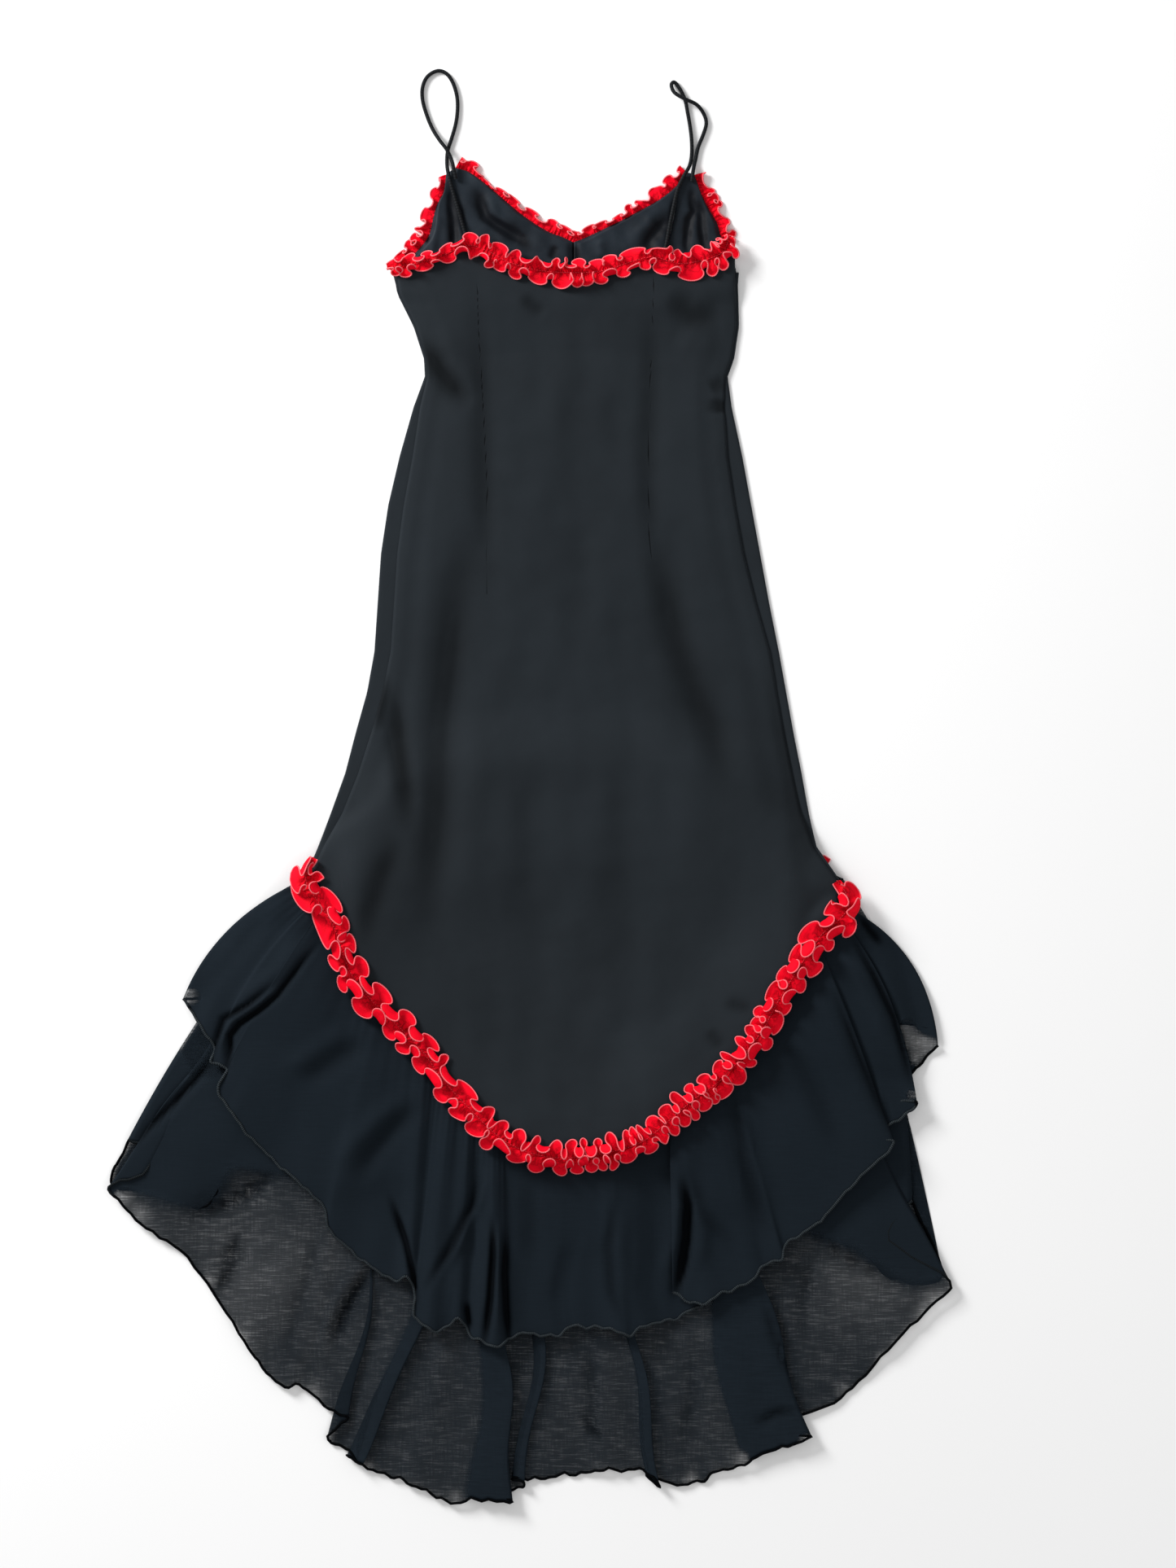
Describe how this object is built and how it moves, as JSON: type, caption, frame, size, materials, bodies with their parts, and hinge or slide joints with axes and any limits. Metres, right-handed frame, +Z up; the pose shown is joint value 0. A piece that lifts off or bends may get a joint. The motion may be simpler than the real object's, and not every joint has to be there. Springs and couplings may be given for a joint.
{
  "type": "high-low slip dress laid flat",
  "caption": "Sleeveless slip dress with thin straps, a short front and long back, sheer tiered flounces and gathered ruffle trim, laid face down.",
  "frame": {"origin": "centre of the laid dress's bounding box, on the surface it lies on", "axes": "+Y from the hem towards the straps, +X to the right seen from above, +Z up from the surface"},
  "size_m": [0.9824, 1.6743, 0.0392],
  "materials": {
    "black_crepe": "matt woven crepe",
    "navy_lining": "soft satin lining",
    "sheer_chiffon": "sheer chiffon, shown as solid cloth here",
    "red_ruffle": "matt chiffon",
    "black_strap": "sewn cord of cloth"
  },
  "bodies": {
    "root": {"front_panel": "black_crepe", "back_panel": "black_crepe", "lining_left": "navy_lining", "lining_right": "navy_lining", "upper_flounce_front": "sheer_chiffon", "lower_flounce_front": "sheer_chiffon", "upper_flounce_back": "sheer_chiffon", "lower_flounce_back": "sheer_chiffon", "neck_ruffle_left": "red_ruffle", "neck_ruffle_right": "red_ruffle", "armhole_ruffle_left": "red_ruffle", "armhole_ruffle_right": "red_ruffle", "neck_ruffle_back": "red_ruffle", "hem_ruffle_back": "red_ruffle", "hem_ruffle_front": "red_ruffle", "strap_left": "black_strap", "strap_right": "black_strap"}
  },
  "joints": []
}
